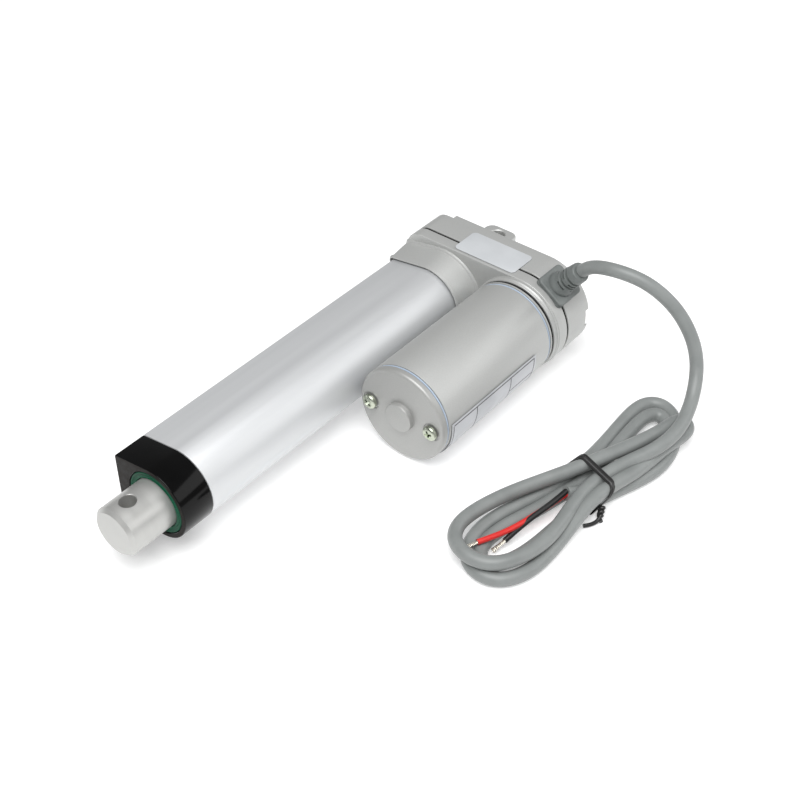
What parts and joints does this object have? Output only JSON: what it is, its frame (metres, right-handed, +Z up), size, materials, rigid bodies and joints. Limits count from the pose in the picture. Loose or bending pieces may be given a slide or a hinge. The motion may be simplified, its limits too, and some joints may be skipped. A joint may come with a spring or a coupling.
{
  "type": "linear actuator",
  "caption": "Electric linear actuator: a rod driven out of a D-section tube by a screw, a two-stage gearbox and a motor lying beside the tube, with a coiled grey lead.",
  "frame": {"origin": "under the middle of the actuator, on the surface it lies on, cable left out", "axes": "+X the way the rod extends, +Y from the tube towards the motor, +Z up, away from the surface"},
  "size_m": [0.2298, 0.1458, 0.0608],
  "materials": {
    "anodised": "satin clear anodised extrusion",
    "rod": "bright satin",
    "paint": "fine silver-grey metallic paint on die-cast metal",
    "black_plastic": "glossy black moulding",
    "seal_green": "dark green wiper rubber",
    "polymer": "natural acetal",
    "gasket_black": "thin black sealing",
    "gasket_blue": "translucent pale blue sealing",
    "zinc": "yellow-green zinc plate",
    "steel": "machined",
    "brass": "machined",
    "copper": "enamelled winding wire",
    "magnet": "dark ferrite and laminations",
    "board": "green circuit board",
    "black_matte": "matte black",
    "pvc": "mid-grey cable sheath and gland",
    "label": "blank silver-white sticker"
  },
  "bodies": {
    "housing": {"outer_tube": "anodised", "front_cap": "black_plastic", "wiper_seal": "seal_green", "guide_bushing": "polymer", "switch_board": "board", "limit_switch_front": "black_matte", "limit_switch_rear": "black_matte", "gearbox_front_housing": "paint", "gearbox_gasket": "gasket_black", "gearbox_rear_housing": "paint", "housing_screw_1": "zinc", "housing_screw_2": "zinc", "housing_screw_3": "zinc", "spindle_bearing": "steel", "thrust_bearing": "steel", "idler_pin": "steel", "motor_cover": "paint", "motor_end_cap": "paint", "end_cap_gasket": "gasket_blue", "cover_rear_gasket": "gasket_blue", "motor_mount_ring": "paint", "motor_seat_gasket": "gasket_black", "tie_screw_1": "zinc", "tie_screw_2": "zinc", "motor_can": "steel", "motor_screw_1": "zinc", "motor_screw_2": "zinc", "motor_magnet_1": "magnet", "motor_magnet_2": "magnet", "motor_brush_1": "magnet", "motor_brush_2": "magnet", "motor_end_bell": "black_matte", "motor_front_bush": "brass", "seal_label": "label", "rating_label": "label", "cable_gland": "pvc", "cable_lead": "pvc", "cable_hank": "pvc", "cable_tie": "black_matte"},
    "rotor": {"motor_shaft": "steel", "armature_core": "magnet", "armature_winding": "copper", "commutator": "copper", "motor_pinion": "brass"},
    "idler": {"idler_gear": "polymer"},
    "screw": {"lead_screw": "steel", "spindle_gear": "polymer", "gear_nut": "steel"},
    "rod": {"extension_rod": "rod", "drive_nut": "polymer", "nut_pin_1": "steel", "nut_pin_2": "steel"}
  },
  "joints": [
    {"name": "rod_slide", "type": "slide", "parent": "housing", "child": "rod", "axis": [1, 0, 0], "range_m": [0, 0.1]},
    {"name": "screw_spin", "type": "hinge", "parent": "housing", "child": "screw", "pos_m": [-0.05, -0.0212, 0.0209], "axis": [-1, 0, 0], "range_deg": [0, 12001]},
    {"name": "idler_spin", "type": "hinge", "parent": "housing", "child": "idler", "pos_m": [-0.084, -0.002, 0.0209], "axis": [-1, 0, 0], "range_deg": [-36001, 0]},
    {"name": "motor_spin", "type": "hinge", "parent": "housing", "child": "rotor", "pos_m": [-0.06, 0.0168, 0.0209], "axis": [-1, 0, 0], "range_deg": [0, 105001]}
  ],
  "couplings": [
    {"joint": "screw_spin", "follows": "rod_slide", "rad_per_m": 2094.4},
    {"joint": "idler_spin", "follows": "rod_slide", "rad_per_m": -6283.2},
    {"joint": "motor_spin", "follows": "rod_slide", "rad_per_m": 18326}
  ]
}
